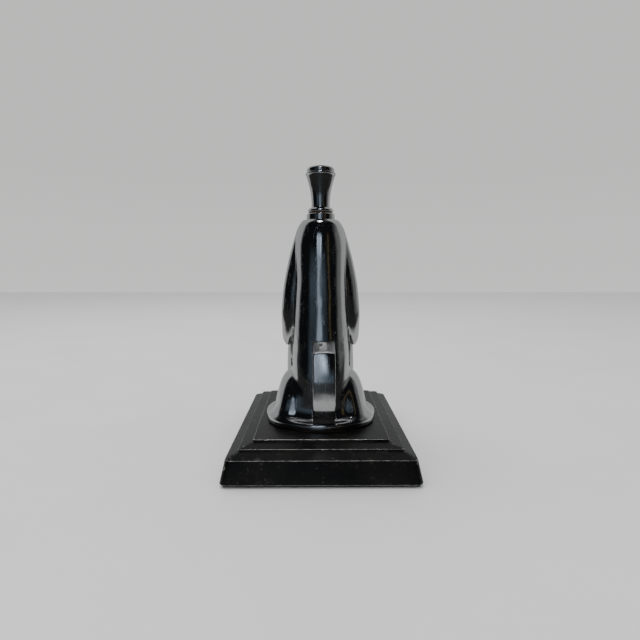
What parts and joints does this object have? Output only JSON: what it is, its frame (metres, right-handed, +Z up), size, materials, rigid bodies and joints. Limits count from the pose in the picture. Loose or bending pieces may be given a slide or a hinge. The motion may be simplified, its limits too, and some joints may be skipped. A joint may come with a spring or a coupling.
{
  "type": "desk ornament with striker wand",
  "caption": "Seated long-eared hound in polished chrome on a stepped black base, with a flared striker wand that lifts out of its crown.",
  "frame": {"origin": "middle of the rest face, under the base", "axes": "+Z up towards the wand's knob; the hound faces -Y and its tail is towards +Y; +X is to the right of a viewer who looks along +Y at its face"},
  "size_m": [0.083, 0.1026, 0.1354],
  "materials": {
    "black_enamel": "semi-gloss black enamel, worn bright along the step edges",
    "cast_chrome": "polished chrome plate on a hand-finished casting, slightly wavy, fine scratches",
    "turned_chrome": "polished chrome plate on turned parts",
    "plain_steel": "zinc-plated, dull",
    "brass": "drawn, slightly tarnished",
    "felt": "short-napped dark green felt",
    "gasket": "pressed fibre, dull",
    "leather_seal": "oiled leather",
    "cotton": "loose cotton",
    "flint": "dark striking bar, scored along its top"
  },
  "bodies": {
    "stand": {"base_casting": "black_enamel", "bottom_plate": "plain_steel", "bottom_plate_screws": "plain_steel", "base_felt": "felt", "foot_gasket": "gasket", "hound_body": "cast_chrome", "tail_band": "cast_chrome", "figure_screws": "plain_steel", "figure_washers": "plain_steel", "reservoir_tube": "brass", "reservoir_washer": "plain_steel", "reservoir_nut": "brass", "filler_washer": "leather_seal", "filler_plug": "brass", "cotton_packing": "cotton", "wand_guide": "brass", "crown_collar": "turned_chrome", "collar_seal": "leather_seal", "striker_holder": "turned_chrome", "striker_flint": "flint", "striker_rivets": "turned_chrome"},
    "wand": {"wand_ring": "turned_chrome", "wand_knob": "turned_chrome", "knob_cap": "turned_chrome", "wand_tube": "turned_chrome", "wand_wick": "cotton", "wand_tip": "plain_steel"}
  },
  "joints": [
    {"name": "wand_lift", "type": "slide", "parent": "stand", "child": "wand", "axis": [0, 0, 1], "range_m": [0, 0.08]}
  ]
}
